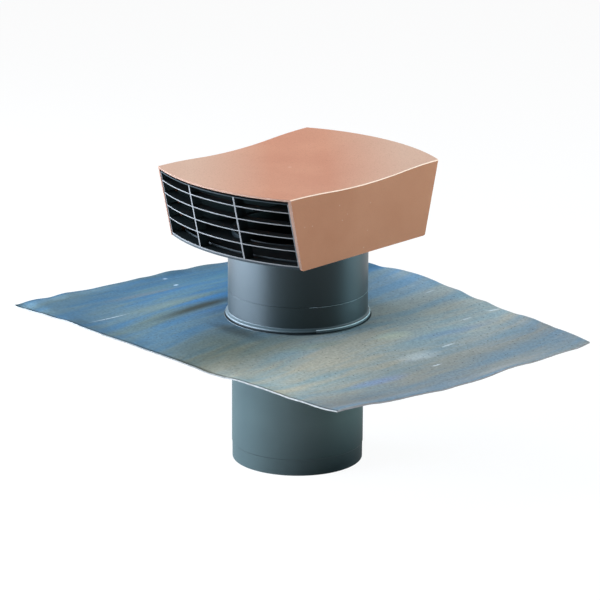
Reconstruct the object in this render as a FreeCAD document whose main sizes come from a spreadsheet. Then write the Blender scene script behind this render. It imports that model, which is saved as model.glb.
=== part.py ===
import FreeCAD, Part
import math
import os
import Sketcher
from FreeCAD import Placement, Rotation, Vector

# Roof ventilation outlet: a bowed hood with two louvre grilles on a 150 mm duct, with a lead flashing.
# The origin is the middle of the duct's lower mouth, +Z is up and the front grille faces -Y.

doc = FreeCAD.newDocument("roof_vent")
sheet = doc.addObject("Spreadsheet::Sheet", "Sizes")

# Driving dimensions in millimetres and degrees
SIZES = {
    "duct_radius": 75.0,
    "duct_wall": 2.2,
    "mouth_taper": 0.5,
    "mouth_length": 19.3,
    "rim_rise": 6.3,
    "rib_rise": 1.9,
    "rib_height": 4.0,
    "seal_thickness": 2.2,
    "seal_height": 16.0,
    "sleeve_wall": 2.4,
    "sleeve_length": 63.2,
    "flange_base": 169.4,
    "flange_width": 4.3,
    "flange_thickness": 1.8,
    "flange_hollow": 1.9,
    "collar_height": 30.7,
    "floor_thickness": 2.4,
    "floor_setback": 0.5,
    "socket_drop": 9.0,
    "weir_inset": 15.5,
    "weir_wall": 1.3,
    "weir_rise": 3.0,
    "weir_end_gap": 7.0,
    "cover_height": 84.9,
    "cover_foot_half": 102.0,
    "cover_flare": 1.0,
    "crown_reach": 145.0,
    "foot_reach": 124.5,
    "bow_radius": 228.8,
    "dish_depth": 4.8,
    "dish_reach": 121.5,
    "cover_plate": 2.2,
    "cover_wall": 2.2,
    "panel_corner": 4.0,
    "cover_bevel": 0.9,
    "hook_height": 1.5,
    "hook_depth": 2.3,
    "hook_length": 24.0,
    "hook_offset": 50.0,
    "stop_height": 1.6,
    "guide_wall": 1.6,
    "liner_wall": 1.4,
    "grille_setback": 0.9,
    "grille_depth": 14.0,
    "bar_offset": 34.3,
    "bar_width": 2.0,
    "post_width": 1.8,
    "rail_thickness": 1.4,
    "slat_thickness": 1.3,
    "slat_count": 4,
    "slat_pitch": 15.1,
    "first_slat_rise": 19.6,
    "sheet_length": 545.6,
    "sheet_width": 388.8,
    "sheet_thickness": 1.6,
    "sheet_turn": -3.8,
    "corner_drop": 8.9,
    "front_sag": 4.0,
    "back_lift": 18.5,
    "back_skew": 0.45,
    "left_drop": 19.0,
    "right_sag": 9.5,
    "near_rise": 3.5,
    "far_drop": 2.5,
    "dome_reach": 150.0,
    "upstand_rise": 12.1,
    "running_gap": 0.2,
    "cut_overrun": 20.0,
}
for row, (alias, number) in enumerate(SIZES.items(), start=1):
    sheet.set("A%d" % row, alias)
    sheet.set("B%d" % row, str(number))
    sheet.setAlias("B%d" % row, alias)
doc.recompute()


class Size:
    """A length with the sheet formula that it comes from."""

    def __init__(self, formula, value):
        self.formula = formula
        self.value = value

    def joined(self, sign, other, result):
        return Size("(%s %s %s)" % (self.formula, sign, other.formula), result)

    def __add__(self, other):
        other = as_size(other)
        return self.joined("+", other, self.value + other.value)

    def __sub__(self, other):
        other = as_size(other)
        return self.joined("-", other, self.value - other.value)

    def __mul__(self, other):
        other = as_size(other)
        return self.joined("*", other, self.value * other.value)

    def __truediv__(self, other):
        other = as_size(other)
        return self.joined("/", other, self.value / other.value)

    def __neg__(self):
        return Size("(0 - %s)" % self.formula, -self.value)

    def root(self):
        return Size("sqrt(%s)" % self.formula, math.sqrt(self.value))


def as_size(number):
    return number if isinstance(number, Size) else Size(repr(float(number)), float(number))


def size(alias):
    return Size("%s.%s" % (sheet.Name, alias), float(sheet.get(alias)))


def bind(target, name, length):
    target.setExpression(name, as_size(length).formula)


# Radii round the duct and heights over its mouth, each worked out from the one before
GAP = size("running_gap")
DUCT = size("duct_radius")
SLEEVE_BORE = DUCT + size("seal_thickness")
SLEEVE = SLEEVE_BORE + size("sleeve_wall")
FLANGE_BASE = size("flange_base")
SEAM = FLANGE_BASE + size("collar_height")
FLOOR_BASE = SEAM + size("sleeve_length")
FLOOR_TOP = FLOOR_BASE + size("floor_thickness")
FOOT = FLOOR_BASE - size("hook_height")
TOP = FOOT + size("cover_height")
CEILING = TOP - size("cover_plate")

# Widths and curves of the hood that its pieces share
BOW = size("bow_radius")
FOOT_HALF = size("cover_foot_half")
CROWN_HALF = FOOT_HALF + size("cover_flare")
INNER_HALF = FOOT_HALF - size("cover_wall")
FITTED_HALF = INNER_HALF - GAP
GUIDE_HALF = FITTED_HALF - size("post_width")
LEAN = (size("crown_reach") - size("foot_reach")) / size("cover_height")


# Points closer than this are one point, and an edge flatter than this lies in one plane
SAME_POINT = 0.001
IN_PLANE = 0.1


# Helpers for bodies and sketches
def new_body(label):
    body = doc.addObject("PartDesign::Body", label)
    body.Label = label
    return body


def new_sketch(body, name, plane, offset=None):
    sketch = body.newObject("Sketcher::SketchObject", name)
    support = [item for item in body.Origin.OriginFeatures if item.Role == plane][0]
    sketch.AttachmentSupport = [(support, "")]
    sketch.MapMode = "FlatFace"
    if offset is not None:
        bind(sketch, "AttachmentOffset.Base.z", offset)
    return sketch


def lock_corner(sketch, side, end, corner):
    for kind, length in zip(("DistanceX", "DistanceY"), corner):
        held = as_size(length)
        index = sketch.addConstraint(Sketcher.Constraint(kind, -1, 1, side, end, held.value))
        sketch.setExpression("Constraints[%d]" % index, held.formula)


def end_at(sketch, side, point):
    """The end of a side that lies at the point: 1 for its start, 2 for its finish."""
    return 1 if sketch.getPoint(side, 1).distanceToPoint(point) < SAME_POINT else 2


def draw(sketch, corners, arcs=None):
    """Draw a closed outline through the corners.

    arcs gives the radius of each curved side under the number of its first corner.
    A positive radius bulges to the right of the way along the outline, a negative one to the left.
    """
    arcs = arcs or {}
    points = [Vector(as_size(x).value, as_size(y).value, 0) for x, y in corners]
    sides = []
    for number, first in enumerate(points):
        last = points[(number + 1) % len(points)]
        if number not in arcs:
            sides.append(sketch.addGeometry(Part.LineSegment(first, last)))
            continue
        radius = as_size(arcs[number])
        along = last - first
        right = Vector(along.y, -along.x, 0).normalize()
        half = along.Length / 2
        rise = abs(radius.value) - math.sqrt(radius.value ** 2 - half ** 2)
        middle = (first + last) * 0.5 + right * math.copysign(rise, radius.value)
        ends = (first, last) if radius.value > 0 else (last, first)
        sides.append(sketch.addGeometry(Part.Arc(ends[0], middle, ends[1])))
    for number, side in enumerate(sides):
        following = sides[(number + 1) % len(sides)]
        meeting = points[(number + 1) % len(points)]
        own_end = end_at(sketch, side, meeting)
        next_end = end_at(sketch, following, meeting)
        sketch.addConstraint(Sketcher.Constraint("Coincident", side, own_end, following, next_end))
    for number, corner in enumerate(corners):
        lock_corner(sketch, sides[number], end_at(sketch, sides[number], points[number]), corner)
    for number, radius in arcs.items():
        radius = as_size(radius)
        sign = 1 if radius.value > 0 else -1
        index = sketch.addConstraint(Sketcher.Constraint("Radius", sides[number], abs(radius.value)))
        bind(sketch, "Constraints[%d]" % index, radius if sign > 0 else -radius)


def extruded(body, kind, name, sketch, length, symmetric=False, flipped=False):
    feature = body.newObject("PartDesign::" + kind, name)
    feature.Profile = sketch
    bind(feature, "Length", length)
    if symmetric:
        feature.SideType = "Symmetric"
    feature.Reversed = flipped
    doc.recompute()
    return feature


def turned(body, name, corners):
    """A ring turned about the duct's axis from its half section of radius and height."""
    sketch = new_sketch(body, name + "_section", "XZ_Plane")
    draw(sketch, corners)
    ring = body.newObject("PartDesign::Revolution", name)
    ring.Profile = sketch
    ring.ReferenceAxis = (sketch, ["V_Axis"])
    ring.Angle = 360
    doc.recompute()
    return ring


def bevelled(body, name, base, edges, width):
    chamfer = body.newObject("PartDesign::Chamfer", name)
    chamfer.Base = (base, edges)
    bind(chamfer, "Size", width)
    doc.recompute()
    return chamfer


# The bowed front of the hood leans in towards its foot
def reach_at(height):
    """How far the middle of the bowed face stands out at a height."""
    return size("foot_reach") + (height - FOOT) * LEAN


def bow_depth(reach, inset, half):
    """Depth of the face's inset curve at a distance from the middle plane."""
    radius = BOW - inset
    return reach - BOW + (radius * radius - half * half).root()


def draw_hood_outline(sketch, height, inset, half):
    depth = bow_depth(reach_at(height), inset, half)
    corners = [(-half, -depth), (half, -depth), (half, depth), (-half, depth)]
    draw(sketch, corners, {0: BOW - inset, 2: BOW - inset})


def draw_front_strip(sketch, height, inset, width, half):
    """A strip that follows the front curve, from the inset inwards."""
    outer = bow_depth(reach_at(height), inset, half)
    inner = bow_depth(reach_at(height), inset + width, half)
    corners = [(-half, -outer), (half, -outer), (half, -inner), (-half, -inner)]
    draw(sketch, corners, {0: BOW - inset, 2: -(BOW - inset - width)})


def lofted(body, name, sketches):
    loft = body.newObject("PartDesign::AdditiveLoft", name)
    loft.Profile = sketches[0]
    loft.Sections = sketches[1:]
    loft.Ruled = True
    doc.recompute()
    return loft


# Inner duct, which stands on its lower mouth, with a stop rib close under the flashing
def build_duct():
    body = new_body("duct_spigot")
    bore = DUCT - size("duct_wall")
    rim = FLOOR_TOP + size("rim_rise")
    rib_top = FLANGE_BASE - GAP / 2 - size("sheet_thickness") - GAP
    turned(body, "duct_tube", [
        (bore, 0),
        (DUCT - size("mouth_taper"), 0),
        (DUCT, size("mouth_length")),
        (DUCT, rib_top - size("rib_height")),
        (DUCT + size("rib_rise"), rib_top),
        (DUCT, rib_top),
        (DUCT, rim),
        (bore, rim),
    ])
    return body


# Rubber seal round the duct: it closes the seam and centres the collar and the sleeve
def build_seal():
    body = new_body("collar_seal")
    half = size("seal_height") / 2
    base = SEAM - half
    top = SEAM + half
    turned(body, "seal_ring", [(DUCT, base), (SLEEVE_BORE, base), (SLEEVE_BORE, top), (DUCT, top)])
    return body


# Storm collar, whose flange lies on the flashing
def build_collar():
    body = new_body("storm_collar")
    rim = SLEEVE + size("flange_width")
    step = FLANGE_BASE + size("flange_thickness")
    hollow = size("flange_hollow")
    turned(body, "collar_ring", [
        (SLEEVE_BORE, FLANGE_BASE),
        (rim, FLANGE_BASE),
        (rim, step),
        (SLEEVE + hollow, step),
        (SLEEVE, step + hollow),
        (SLEEVE, SEAM),
        (SLEEVE_BORE, SEAM),
    ])
    return body


# Outer sleeve between the collar and the hood's floor
def build_sleeve():
    body = new_body("head_sleeve")
    turned(body, "sleeve_tube", [
        (SLEEVE_BORE, SEAM),
        (SLEEVE, SEAM),
        (SLEEVE, FLOOR_BASE),
        (SLEEVE_BORE, FLOOR_BASE),
    ])
    return body


# Hood floor with its duct socket and the weirs that stop driven rain
def build_floor():
    body = new_body("hood_floor")
    outline = new_sketch(body, "floor_outline", "XY_Plane", FLOOR_BASE)
    draw_hood_outline(outline, FLOOR_BASE, size("floor_setback"), FITTED_HALF)
    extruded(body, "Pad", "floor_plate", outline, size("floor_thickness"))
    for name, side in (("front_weir", 1), ("rear_weir", -1)):
        sketch = new_sketch(body, name + "_outline", "XY_Plane", FLOOR_BASE)
        draw_weir(sketch, side)
        extruded(body, "Pad", name, sketch, size("floor_thickness") + size("weir_rise"))
    bore = DUCT + GAP
    drop = FLOOR_BASE - size("socket_drop")
    socket = SLEEVE_BORE - GAP
    turned(body, "duct_socket", [(bore, drop), (socket, drop), (socket, FLOOR_TOP), (bore, FLOOR_TOP)])
    hole = new_sketch(body, "duct_hole_outline", "XY_Plane", drop)
    index = hole.addGeometry(Part.Circle(Vector(0, 0, 0), Vector(0, 0, 1), bore.value))
    hole.addConstraint(Sketcher.Constraint("Coincident", index, 3, -1, 1))
    radius = hole.addConstraint(Sketcher.Constraint("Radius", index, bore.value))
    bind(hole, "Constraints[%d]" % radius, bore)
    extruded(body, "Pocket", "duct_hole", hole, FLOOR_TOP - drop, flipped=True)
    return body


def draw_weir(sketch, side):
    inset = size("weir_inset")
    half = FITTED_HALF - size("weir_end_gap")
    reach = reach_at(FLOOR_BASE)
    outer = bow_depth(reach, inset, half) * -side
    inner = bow_depth(reach, inset + size("weir_wall"), half) * -side
    corners = [(half * -side, outer), (half * side, outer), (half * side, inner), (half * -side, inner)]
    draw(sketch, corners, {0: BOW - inset, 2: -(BOW - inset - size("weir_wall"))})


# Terracotta cover: a dished plate and two side panels moulded in one shell
def draw_dish(sketch, level, edge_level, edge_reach):
    """Close the dished line of the cover at a level against a straight edge level."""
    reach = size("dish_reach")
    depth = size("dish_depth")
    radius = (reach * reach + depth * depth) / (depth * 4)
    half_down = level - depth / 2
    corners = [
        (-edge_reach, level),
        (-reach, level),
        (-reach / 2, half_down),
        (reach / 2, half_down),
        (reach, level),
        (edge_reach, level),
        (edge_reach, edge_level),
        (-edge_reach, edge_level),
    ]
    draw(sketch, corners, {1: -radius, 2: radius, 3: -radius})


def draw_hooks(sketch):
    """Section of the snap hooks and the stops that hold the floor's edges between them."""
    wall = INNER_HALF + size("cover_wall") / 2
    tip = INNER_HALF - size("hook_depth")
    hook_top = FLOOR_BASE - GAP
    stop_top = FLOOR_TOP + size("stop_height")
    for side in (-1, 1):
        hook = [(wall, FOOT), (INNER_HALF, FOOT), (tip, hook_top), (wall, hook_top)]
        stop = [(wall, FLOOR_TOP), (tip, FLOOR_TOP), (tip, stop_top), (wall, stop_top)]
        for corners in (hook, stop):
            draw(sketch, [(x * side, y) for x, y in corners])


def draw_guides(sketch):
    """Leaning ribs behind the ends of the two grilles."""
    low = FLOOR_TOP + GAP
    high = CEILING - size("dish_depth") / 2
    inset = size("grille_setback") + size("grille_depth") + GAP
    for side in (-1, 1):
        corners = []
        for height, depth in ((low, inset), (high, inset), (high, inset + size("guide_wall")),
                              (low, inset + size("guide_wall"))):
            corners.append((bow_depth(reach_at(height), depth, FITTED_HALF) * side, height))
        draw(sketch, corners)


def side_edges(shape):
    """Names of the long edges where the plate turns down into the side panels."""
    half = CROWN_HALF.value
    shortest = size("cover_bevel").value * 2
    lowest = TOP.value - size("dish_depth").value
    names = []
    for number, edge in enumerate(shape.Edges, start=1):
        box = edge.BoundBox
        at_side = abs(abs(box.Center.x) - half) < IN_PLANE and box.XLength < IN_PLANE
        if at_side and box.YLength > shortest and box.ZMin > lowest - IN_PLANE:
            names.append("Edge%d" % number)
    return names


def draw_panel_corners(sketch):
    """What rounding takes off the lower corners of the side panels."""
    radius = size("panel_corner")
    slope = (LEAN * LEAN + 1).root()
    tangent = radius * (slope - LEAN)
    edge = bow_depth(reach_at(FOOT), 0, (INNER_HALF + FOOT_HALF) / 2)
    for side in (-1, 1):
        corners = [
            (edge - tangent, FOOT - radius),
            (edge + radius, FOOT - radius),
            (edge + radius, FOOT + tangent / slope),
            (edge + tangent * LEAN / slope, FOOT + tangent / slope),
            (edge - tangent, FOOT),
        ]
        draw(sketch, [(y * side, z) for y, z in corners], {3: radius * -side})


def build_cover():
    body = new_body("cap_cover")
    beyond_reach = size("crown_reach") + size("cut_overrun")
    beyond_sides = (CROWN_HALF + size("cut_overrun")) * 2
    foot = new_sketch(body, "foot_outline", "XY_Plane", FOOT)
    draw_hood_outline(foot, FOOT, 0, FOOT_HALF)
    crown = new_sketch(body, "crown_outline", "XY_Plane", TOP)
    draw_hood_outline(crown, TOP, 0, CROWN_HALF)
    lofted(body, "hood_block", [foot, crown])
    above = new_sketch(body, "dish_section", "YZ_Plane")
    draw_dish(above, TOP, TOP + size("cut_overrun"), beyond_reach)
    dish = extruded(body, "Pocket", "dish", above, beyond_sides, symmetric=True)
    bevelled(body, "crown_bevels", dish, side_edges(dish.Shape), size("cover_bevel"))
    below = new_sketch(body, "tunnel_section", "YZ_Plane")
    draw_dish(below, CEILING, FOOT - size("cut_overrun"), beyond_reach)
    extruded(body, "Pocket", "tunnel", below, INNER_HALF * 2, symmetric=True)
    corners = new_sketch(body, "panel_corner_section", "YZ_Plane")
    draw_panel_corners(corners)
    extruded(body, "Pocket", "panel_corners", corners, beyond_sides, symmetric=True)
    for name, side in (("front", -1), ("rear", 1)):
        sketch = new_sketch(body, name + "_hook_section", "XZ_Plane", size("hook_offset") * -side)
        draw_hooks(sketch)
        extruded(body, "Pad", name + "_hooks", sketch, size("hook_length"), symmetric=True)
    guides = new_sketch(body, "guide_section", "YZ_Plane", GUIDE_HALF)
    draw_guides(guides)
    ribs = extruded(body, "Pad", "right_guides", guides, INNER_HALF - GUIDE_HALF + size("cover_wall") / 2)
    mirror = body.newObject("PartDesign::Mirrored", "left_guides")
    mirror.Originals = [ribs]
    plane = [item for item in body.Origin.OriginFeatures if item.Role == "YZ_Plane"][0]
    mirror.MirrorPlane = (plane, [""])
    body.Tip = mirror
    doc.recompute()
    return body


# Dark side wall inside the cover, between the guide ribs and clear of the snap hooks
def build_liner(label, side):
    body = new_body(label)
    outer = INNER_HALF - size("hook_depth") - GAP
    inner = outer - size("liner_wall")
    high = CEILING - size("dish_depth") - GAP
    inset = size("grille_setback") + size("grille_depth") + GAP * 2 + size("guide_wall")
    low_reach = bow_depth(reach_at(FLOOR_TOP), inset, FITTED_HALF)
    high_reach = bow_depth(reach_at(high), inset, FITTED_HALF)
    offset = inner if side > 0 else -outer
    outline = new_sketch(body, label + "_outline", "YZ_Plane", offset)
    draw(outline, [(-low_reach, FLOOR_TOP), (low_reach, FLOOR_TOP), (high_reach, high), (-high_reach, high)])
    extruded(body, "Pad", label + "_plate", outline, size("liner_wall"))
    return body


# Louvre grille: a bowed, leaning band with its air windows cut through
def grille_columns():
    bar = size("bar_offset")
    half_bar = size("bar_width") / 2
    return [(-GUIDE_HALF, -bar - half_bar), (-bar + half_bar, bar - half_bar), (bar + half_bar, GUIDE_HALF)]


def grille_rows(ceiling):
    half_slat = size("slat_thickness") / 2
    lowest = FLOOR_TOP + size("first_slat_rise")
    rows = []
    low = FLOOR_TOP + size("rail_thickness")
    for number in range(int(size("slat_count").value)):
        slat = lowest + size("slat_pitch") * number
        rows.append((low, slat - half_slat))
        low = slat + half_slat
    rows.append((low, ceiling - size("rail_thickness")))
    return rows


def build_grille(label, turn):
    body = new_body(label)
    body.Placement = Placement(Vector(0, 0, 0), Rotation(Vector(0, 0, 1), turn))
    setback = size("grille_setback")
    depth = size("grille_depth")
    base = FLOOR_TOP
    ceiling = CEILING - size("dish_depth") / 2 - GAP
    sections = []
    for name, height in (("band_foot", base), ("band_crown", ceiling)):
        sketch = new_sketch(body, name, "XY_Plane", height)
        draw_front_strip(sketch, height, setback, depth, FITTED_HALF)
        sections.append(sketch)
    band = lofted(body, "band", sections)
    windows = new_sketch(body, "window_outlines", "XZ_Plane")
    for left, right in grille_columns():
        for low, high in grille_rows(ceiling):
            draw(windows, [(left, low), (right, low), (right, high), (left, high)])
    before = band.Shape.Volume
    beyond_band = (size("crown_reach") + size("cut_overrun")) * 2
    cut = extruded(body, "Pocket", "air_windows", windows, beyond_band, symmetric=True)
    if cut.Shape.Volume > before / 2:
        raise ValueError("the air windows did not open the band of " + label)
    return body


# Lead flashing: a soft sheet that domes up to the collar, with an upstand around the duct
def smooth_step(value):
    held = min(max(value, 0.0), 1.0)
    return held * held * (3 - 2 * held)


def sheet_level(across, along):
    """Rise of the sheet over its corner level, at a place that runs from -1 to 1 between its edges."""
    front = -size("front_sag").value * (1 - across ** 2)
    lift = size("back_lift").value * (1 - across ** 2) ** 2 * (1 - size("back_skew").value * across)
    drop = size("left_drop").value * ((1 - across) / 2) ** 3
    right = -size("right_sag").value * (1 - along ** 2)
    corners = size("near_rise").value * (1 - along) / 2 - size("far_drop").value * (1 + along) / 2
    front_to_back = front * (1 - along) / 2 + (lift - drop) * (1 + along) / 2
    return front_to_back + right * (1 + across) / 2 + corners * ((1 + across) / 2) ** 3


# How many spans the sheet's surface has along its length and its width
COLUMNS = 30
ROWS = 20


def build_flashing():
    half_length = size("sheet_length").value / 2
    half_width = size("sheet_width").value / 2
    thickness = size("sheet_thickness").value
    crown_level = FLANGE_BASE.value - GAP.value / 2
    corner_level = FLANGE_BASE.value - size("corner_drop").value
    flat_reach = SLEEVE.value + size("flange_width").value + thickness
    grid = []
    for column in range(COLUMNS + 1):
        across = 2 * column / COLUMNS - 1
        line = []
        for row in range(ROWS + 1):
            along = 2 * row / ROWS - 1
            x = across * half_length
            y = along * half_width
            away = (math.hypot(x, y) - flat_reach) / size("dome_reach").value
            spread = smooth_step(away)
            edge_level = corner_level + sheet_level(across, along)
            line.append(Vector(x, y, edge_level * spread + crown_level * (1 - spread)))
        grid.append(line)
    surface = Part.BSplineSurface()
    surface.interpolate(grid)
    skin = surface.toShape().extrude(Vector(0, 0, -thickness))
    duct_gap = DUCT.value + GAP.value
    upstand_reach = min(duct_gap + thickness, SLEEVE_BORE.value - GAP.value)
    upstand_base = crown_level - thickness / 2
    upstand_height = FLANGE_BASE.value + size("upstand_rise").value - upstand_base
    upstand = Part.makeCylinder(upstand_reach, upstand_height, Vector(0, 0, upstand_base))
    bore = Part.makeCylinder(duct_gap, TOP.value)
    whole = skin.fuse(upstand).cut(bore)
    flashing = doc.addObject("Part::Feature", "lead_flashing")
    flashing.Label = "lead_flashing"
    flashing.Shape = whole
    turn = size("sheet_turn").value
    flashing.Placement = Placement(Vector(0, 0, 0), Rotation(Vector(0, 0, 1), turn))
    return flashing


# Build every piece, test it and write its file
def export(piece):
    if piece.Shape.isNull() or not piece.Shape.isValid():
        raise ValueError("no valid solid in " + piece.Label)
    piece.Shape.exportStep("parts/%s.step" % piece.Label)


PIECES = [
    build_cover(),
    build_grille("front_grille", 0),
    build_grille("rear_grille", 180),
    build_floor(),
    build_liner("left_liner", -1),
    build_liner("right_liner", 1),
    build_sleeve(),
    build_collar(),
    build_seal(),
    build_duct(),
    build_flashing(),
]
doc.recompute()
for item in doc.Objects:
    if "Invalid" in item.State or "Error" in item.State:
        raise ValueError("%s is in a bad state: %s" % (item.Label, item.State))
os.makedirs("parts", exist_ok=True)
for piece in PIECES:
    export(piece)
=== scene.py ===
import math

import bpy
from mathutils import Matrix, Vector
from mathutils.kdtree import KDTree


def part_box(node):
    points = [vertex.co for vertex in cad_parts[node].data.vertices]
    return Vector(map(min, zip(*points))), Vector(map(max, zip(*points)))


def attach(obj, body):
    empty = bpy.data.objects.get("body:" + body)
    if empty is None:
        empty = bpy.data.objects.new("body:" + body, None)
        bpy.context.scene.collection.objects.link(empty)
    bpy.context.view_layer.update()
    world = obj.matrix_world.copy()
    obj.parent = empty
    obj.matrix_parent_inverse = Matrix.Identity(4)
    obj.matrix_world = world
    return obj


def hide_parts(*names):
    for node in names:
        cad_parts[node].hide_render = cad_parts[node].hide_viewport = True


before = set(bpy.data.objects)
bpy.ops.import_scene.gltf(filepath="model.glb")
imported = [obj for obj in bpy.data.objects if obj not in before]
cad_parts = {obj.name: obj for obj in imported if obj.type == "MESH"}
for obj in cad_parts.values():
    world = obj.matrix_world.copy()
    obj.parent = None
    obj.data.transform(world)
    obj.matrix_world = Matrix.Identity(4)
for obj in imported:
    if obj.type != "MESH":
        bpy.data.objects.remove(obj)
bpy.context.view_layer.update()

# Every length below is in metres, so a millimetre is this
MM = 0.001

# How many facets go round a tube, how far apart two vertices may be that are one point, and at
# how small an angle two facets count as one face
RING_STEPS = 192
SAME_POINT = 0.01 * MM
SAME_FACE = math.radians(0.4)

# How far a face looks along an axis, from 0 for across it to 1 for straight along it
LEANING = 0.3
TURNED = 0.5
BOWED = 0.85
LEVEL = 0.9


# Sizes read from the frame
def ring_radius(node):
    """The outer radius of a node that is round about the duct's axis."""
    low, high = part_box(node)
    return max(high.x, high.y, -low.x, -low.y)


def heights(node):
    low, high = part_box(node)
    return low.z, high.z


# Helpers that model as by hand
def start_piece():
    """Leave edit mode and select nothing, so that an operator only meets the new piece."""
    if bpy.context.object and bpy.context.object.mode != "OBJECT":
        bpy.ops.object.mode_set(mode="OBJECT")
    bpy.ops.object.select_all(action="DESELECT")


def take_hold(piece):
    start_piece()
    piece.select_set(True)
    bpy.context.view_layer.objects.active = piece


def apply_modifier(piece, kind, **settings):
    take_hold(piece)
    modifier = piece.modifiers.new(kind.title(), kind)
    for name, value in settings.items():
        setattr(modifier, name, value)
    bpy.ops.object.modifier_apply(modifier=modifier.name)


def soften_edges(piece, width, edge_material=0, segments=2, sharpest=28):
    """Round the edges sharper than an angle in degrees, and shade the piece smooth.

    The weighted normals keep its broad faces looking flat.
    """
    apply_modifier(piece, "BEVEL", width=width, segments=segments, limit_method="ANGLE",
                   angle_limit=math.radians(sharpest), material=edge_material,
                   use_clamp_overlap=True)
    take_hold(piece)
    bpy.ops.object.shade_smooth_by_angle(angle=math.radians(sharpest))
    apply_modifier(piece, "WEIGHTED_NORMAL", keep_sharp=True)


def cleaned_copy(node, name):
    """A copy of a solid from the frame with its triangles merged back into whole faces."""
    piece = bpy.data.objects.new(name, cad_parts[node].data.copy())
    bpy.context.scene.collection.objects.link(piece)
    piece.data.materials.clear()
    take_hold(piece)
    bpy.ops.object.mode_set(mode="EDIT")
    bpy.ops.mesh.select_all(action="SELECT")
    bpy.ops.mesh.remove_doubles(threshold=SAME_POINT)
    bpy.ops.mesh.dissolve_limited(angle_limit=SAME_FACE)
    bpy.ops.object.mode_set(mode="OBJECT")
    return piece


def turned_ring(name, section):
    """Turn a closed half section of (radius, height) points about the duct's axis."""
    start_piece()
    radius, height = section[0]
    bpy.ops.mesh.primitive_circle_add(vertices=RING_STEPS, radius=radius, location=(0, 0, height))
    piece = bpy.context.object
    piece.name = name
    bpy.ops.object.transform_apply(location=True, rotation=True, scale=True)
    bpy.ops.object.mode_set(mode="EDIT")
    for next_radius, next_height in section[1:]:
        rise = (0, 0, next_height - height)
        bpy.ops.mesh.extrude_region_move(TRANSFORM_OT_translate={"value": rise})
        growth = next_radius / radius
        bpy.ops.transform.resize(value=(growth, growth, 1), center_override=(0, 0, next_height))
        radius, height = next_radius, next_height
    bpy.ops.mesh.select_all(action="DESELECT")
    bpy.ops.mesh.select_non_manifold()
    bpy.ops.mesh.bridge_edge_loops()
    bpy.ops.mesh.select_all(action="SELECT")
    bpy.ops.mesh.normals_make_consistent(inside=False)
    bpy.ops.object.mode_set(mode="OBJECT")
    return piece


def reach(place):
    """How far a place is from the duct's axis."""
    return math.hypot(place.x, place.y)


def select_vertices(piece, chosen):
    """Go into edit mode with only the chosen vertices selected."""
    take_hold(piece)
    bpy.ops.object.mode_set(mode="EDIT")
    bpy.ops.mesh.select_mode(type="VERT")
    bpy.ops.mesh.select_all(action="DESELECT")
    bpy.ops.object.mode_set(mode="OBJECT")
    for vertex in piece.data.vertices:
        vertex.select = chosen(vertex.co)
    bpy.ops.object.mode_set(mode="EDIT")


def finish_piece(piece, materials, slot, *nodes):
    """Give a piece its materials and let it stand for its solids. The record slot is not used."""
    for material in materials:
        piece.data.materials.append(material)
    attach(piece, "root")
    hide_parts(*nodes)


# Material helpers
def hex_colour(code):
    """Turn an sRGB hex value into the linear colour that a node takes."""
    linear = []
    for start in (1, 3, 5):
        part = int(code[start:start + 2], 16) / 255
        linear.append(part / 12.92 if part <= 0.04045 else ((part + 0.055) / 1.055) ** 2.4)
    return (*linear, 1.0)


def add_node(tree, kind, sockets=None, **settings):
    """Add a node, set its settings, and set or link the sockets given by name or number."""
    node = tree.nodes.new(kind)
    for name, value in settings.items():
        setattr(node, name, value)
    for name, value in (sockets or {}).items():
        if isinstance(value, bpy.types.NodeSocket):
            tree.links.new(value, node.inputs[name])
        else:
            node.inputs[name].default_value = value
    return node


# The Mix node has sockets for each kind of data under the same names, so they go by number
SHARE, COLOUR_A, COLOUR_B, COLOUR_OUT = 0, 6, 7, 2
VECTOR_A, VECTOR_B, VECTOR_OUT = 4, 5, 1


def new_material(name):
    """An empty material with its principled shader and its object coordinates."""
    material = bpy.data.materials.new(name)
    material.use_nodes = True
    tree = material.node_tree
    tree.nodes.clear()
    shader = add_node(tree, "ShaderNodeBsdfPrincipled")
    output = add_node(tree, "ShaderNodeOutputMaterial")
    tree.links.new(shader.outputs["BSDF"], output.inputs["Surface"])
    place = add_node(tree, "ShaderNodeTexCoord").outputs["Object"]
    return material, tree, shader, place


def per_length(length):
    """The scale of a texture whose features are about this long."""
    return 1 / length


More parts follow.
